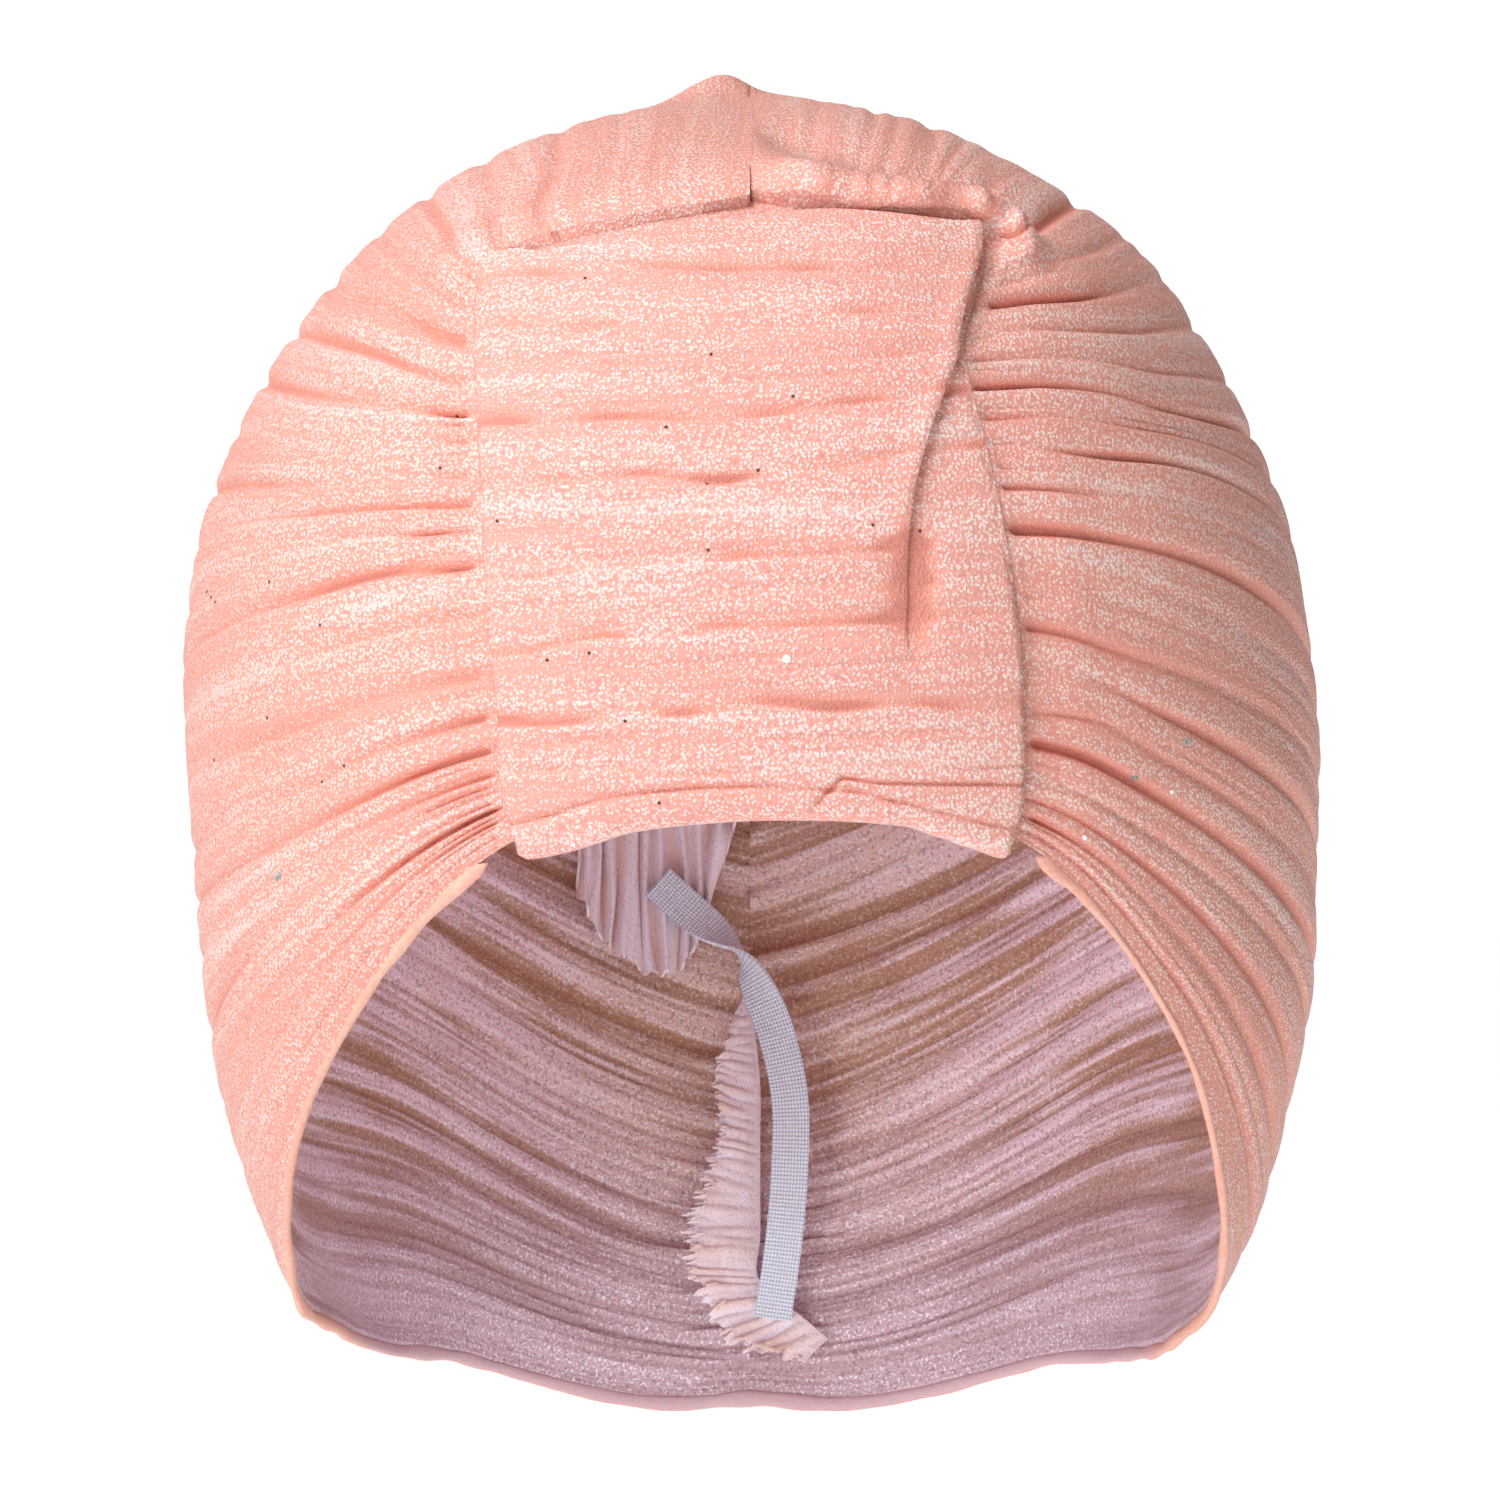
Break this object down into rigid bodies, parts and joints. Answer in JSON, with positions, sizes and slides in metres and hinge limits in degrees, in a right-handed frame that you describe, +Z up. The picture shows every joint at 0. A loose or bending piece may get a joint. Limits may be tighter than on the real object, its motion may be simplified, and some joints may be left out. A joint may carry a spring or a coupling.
{
  "type": "turban hat",
  "caption": "Pleated stretch turban hat in worn form, with a wide gathered front band, an open face, a hemmed rim and an elastic tape inside the back seam.",
  "frame": {"origin": "middle of the head hollow at brow level, where the head sits in the hat", "axes": "+Z up, the face opening looks along -Y, +X towards the viewer's right as the hat is seen from the front"},
  "size_m": [0.1981, 0.2258, 0.2413],
  "materials": {
    "crown_crepe": "shimmering pleated crepe",
    "band_crepe": "shimmering pleated crepe",
    "hem_crepe": "rolled crepe hem",
    "raw_crepe": "wrong side of the crepe with a raw edge",
    "elastic": "knitted elastic tape"
  },
  "bodies": {
    "root": {"crown": "crown_crepe", "front_band": "band_crepe", "rim_hem": "hem_crepe", "elastic_tape": "elastic", "back_seam_ruffle": "raw_crepe", "seam_top_frill": "raw_crepe"}
  },
  "joints": []
}
